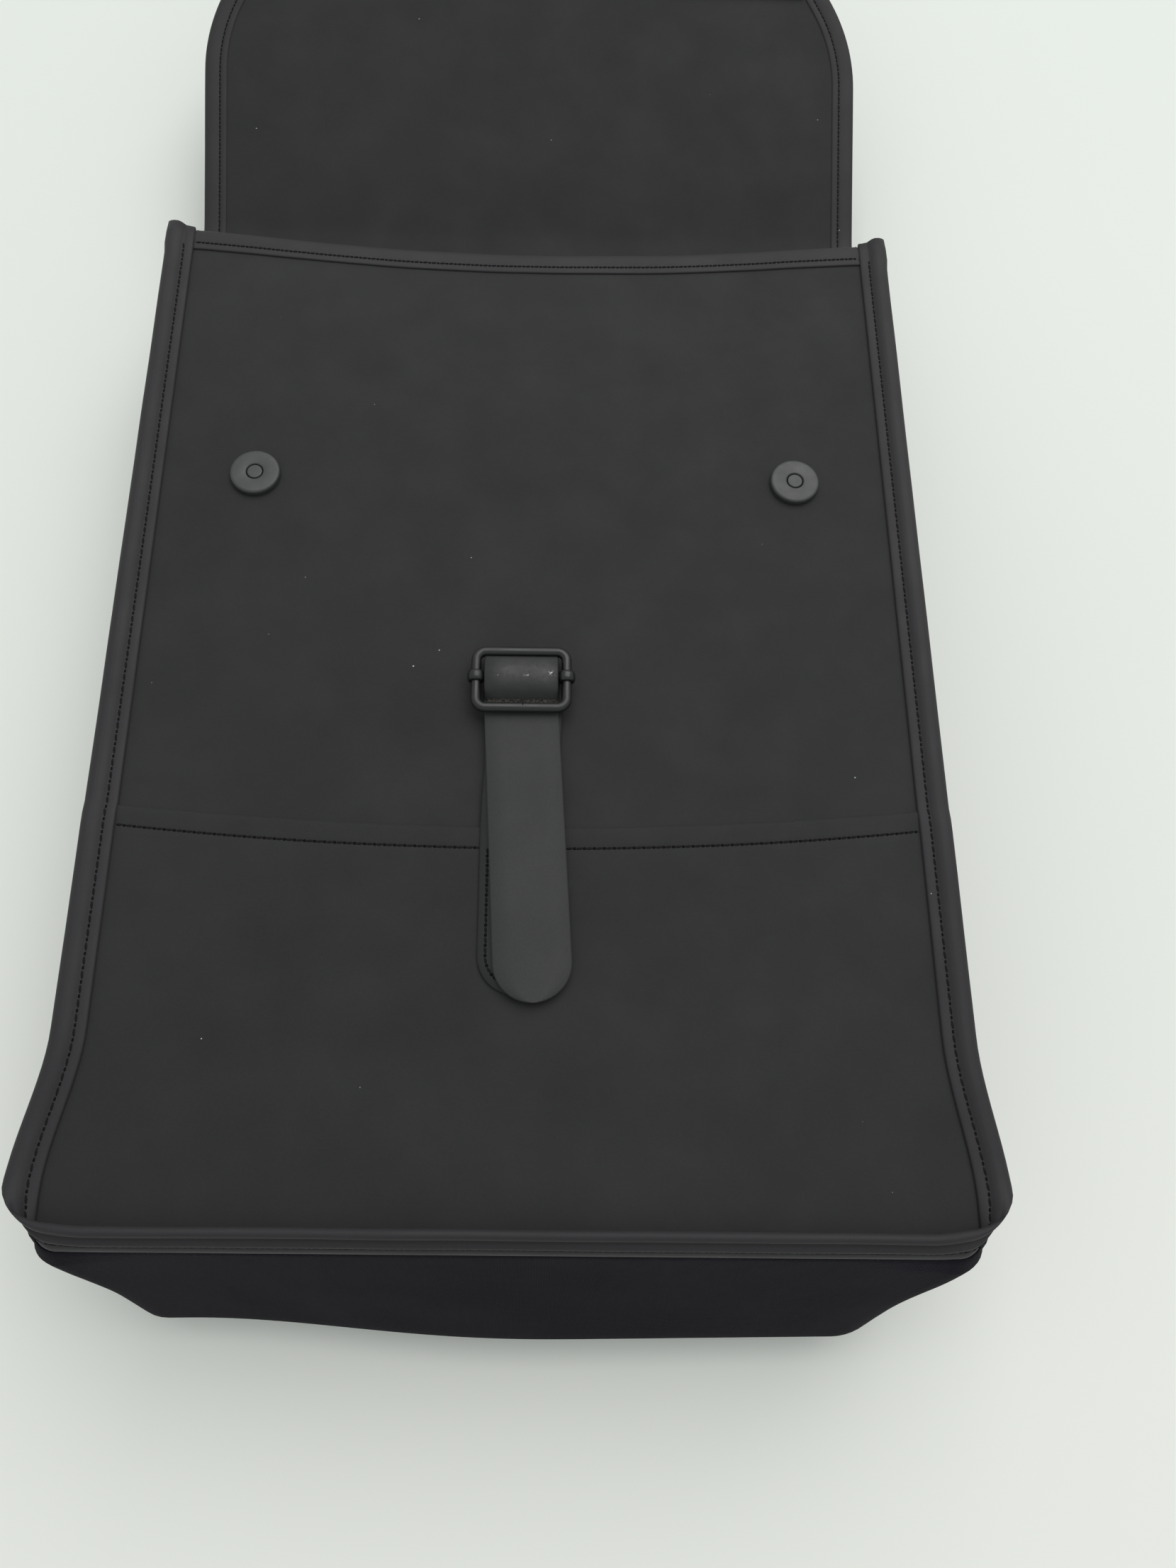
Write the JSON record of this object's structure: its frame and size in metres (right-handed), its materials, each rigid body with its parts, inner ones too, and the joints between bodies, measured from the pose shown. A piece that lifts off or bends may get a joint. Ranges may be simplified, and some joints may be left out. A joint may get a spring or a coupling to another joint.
{
  "type": "pannier bag",
  "caption": "Flat coated-cloth pannier bag with a bound front, magnetic snap flap, buckled strap, rack hooks on a rail and a swinging lower anchor.",
  "frame": {"origin": "middle of the rack tube that the two hooks hold, on the tube axis", "axes": "+Z out of the front panel, +Y towards the mouth and the flap, +X along the rack tube"},
  "size_m": [0.284, 0.585, 0.0914],
  "materials": {
    "coated_cloth": "matte polyurethane coating on cloth",
    "binding_tape": "matte folded tape with a stitch row",
    "canvas": "plain woven black canvas",
    "board": "plain sheet",
    "strap": "matte coated strap, worn at the crest",
    "strap_tail": "matte coated strap, dusty",
    "snap_paint": "satin dark paint",
    "black_wire": "satin black paint",
    "gate_steel": "satin dark paint",
    "fastener_steel": "zinc plated",
    "rail": "black anodised",
    "hook_plastic": "moulded, fine grain",
    "lining": "soft lining",
    "webbing": "woven polypropylene webbing"
  },
  "bodies": {
    "root": {"front_upper_panel": "coated_cloth", "front_lower_panel": "coated_cloth", "gusset": "canvas", "back_panel": "canvas", "back_board": "board", "front_binding": "binding_tape", "mouth_hem": "binding_tape", "gusset_hems": "binding_tape", "front_snap_left": "snap_paint", "front_snap_right": "snap_paint", "snap_magnets": "gate_steel", "front_snap_washers": "fastener_steel", "strap_base": "strap", "hook_rail": "rail", "rail_screws": "fastener_steel", "rail_nuts": "fastener_steel", "rail_cap_left": "hook_plastic", "rail_cap_right": "hook_plastic", "anchor_plate": "hook_plastic", "anchor_screws": "fastener_steel", "anchor_nuts": "fastener_steel", "anchor_bolt": "fastener_steel", "handle_brackets": "black_wire", "handle_rivets": "fastener_steel"},
    "flap_roof": {"flap_roof": "coated_cloth", "flap_roof_bindings": "binding_tape"},
    "flap_front": {"flap_front": "coated_cloth", "flap_front_binding": "binding_tape", "flap_facing": "coated_cloth", "flap_snap_left": "snap_paint", "flap_snap_right": "snap_paint", "flap_snap_washers": "fastener_steel", "flap_strap": "strap"},
    "hook_eye": {"hook_eye": "black_wire"},
    "snap_hook": {"snap_hook": "black_wire", "gate_pin": "fastener_steel", "gate_spring": "fastener_steel"},
    "snap_gate": {"snap_gate": "gate_steel"},
    "strap": {"strap_riser": "strap", "slider_bar": "black_wire"},
    "buckle": {"buckle_frame": "black_wire"},
    "strap_tail": {"strap_tail": "strap_tail"},
    "rack_hook_left": {"rack_hook_left": "hook_plastic", "hook_insert_left": "lining", "latch_pin_left": "fastener_steel", "latch_spring_left": "fastener_steel", "hook_screw_left": "fastener_steel"},
    "rack_hook_right": {"rack_hook_right": "hook_plastic", "hook_insert_right": "lining", "latch_pin_right": "fastener_steel", "latch_spring_right": "fastener_steel", "hook_screw_right": "fastener_steel"},
    "latch_left": {"hook_latch_left": "hook_plastic"},
    "latch_right": {"hook_latch_right": "hook_plastic"},
    "anchor_arm": {"anchor_arm": "hook_plastic", "anchor_pad": "lining"},
    "carry_handle": {"carry_handle": "webbing"}
  },
  "joints": [
    {"name": "flap_open", "type": "hinge", "parent": "root", "child": "flap_roof", "pos_m": [0, 0.066, 0.0153], "axis": [1, 0, 0], "range_deg": [-60, 55]},
    {"name": "flap_fold", "type": "hinge", "parent": "flap_roof", "child": "flap_front", "pos_m": [0, 0.10698, 0.01673], "axis": [1, 0, 0], "range_deg": [-40, 104]},
    {"name": "hook_swing", "type": "hinge", "parent": "flap_front", "child": "hook_eye", "pos_m": [0, 0.25857, 0.05583], "axis": [1, 0, 0], "range_deg": [-45, 100]},
    {"name": "hook_swivel", "type": "hinge", "parent": "hook_eye", "child": "snap_hook", "pos_m": [0, 0.25857, 0.04383], "axis": [0, 0, 1], "continuous": true},
    {"name": "gate_open", "type": "hinge", "parent": "snap_hook", "child": "snap_gate", "pos_m": [0.0062, 0.25857, 0.03183], "axis": [0, 1, 0], "range_deg": [0, 30], "stiffness_Nm_per_rad": 0.02, "springref_deg": -11.46},
    {"name": "strap_lift", "type": "hinge", "parent": "root", "child": "strap", "pos_m": [0, -0.16781, 0.06497], "axis": [1, 0, 0], "range_deg": [0, 40]},
    {"name": "buckle_slide", "type": "slide", "parent": "strap", "child": "buckle", "axis": [0, 0.9976, -0.0698], "range_m": [-0.003, 0]},
    {"name": "tail_lift", "type": "hinge", "parent": "strap", "child": "strap_tail", "pos_m": [0, -0.12625, 0.06432], "axis": [-1, 0, 0], "range_deg": [0, 48]},
    {"name": "hook_left_slide", "type": "slide", "parent": "root", "child": "rack_hook_left", "axis": [1, 0, 0], "range_m": [-0.006, 0.025]},
    {"name": "hook_right_slide", "type": "slide", "parent": "root", "child": "rack_hook_right", "axis": [1, 0, 0], "range_m": [-0.025, 0.006]},
    {"name": "latch_left_open", "type": "hinge", "parent": "rack_hook_left", "child": "latch_left", "pos_m": [-0.075, -0.0105, 0.0096], "axis": [-1, 0, 0], "range_deg": [0, 65], "stiffness_Nm_per_rad": 0.05, "springref_deg": -17.19},
    {"name": "latch_right_open", "type": "hinge", "parent": "rack_hook_right", "child": "latch_right", "pos_m": [0.075, -0.0105, 0.0096], "axis": [-1, 0, 0], "range_deg": [0, 65], "stiffness_Nm_per_rad": 0.05, "springref_deg": -17.19},
    {"name": "anchor_swing", "type": "hinge", "parent": "root", "child": "anchor_arm", "pos_m": [0, -0.228, 0.0073], "axis": [0, 0, 1], "range_deg": [-60, 60]},
    {"name": "handle_swing", "type": "hinge", "parent": "root", "child": "carry_handle", "pos_m": [0, 0.053, 0.0088], "axis": [1, 0, 0], "range_deg": [0, 165]}
  ],
  "couplings": [
    {"joint": "tail_lift", "follows": "strap_lift", "ratio": 1.2}
  ]
}
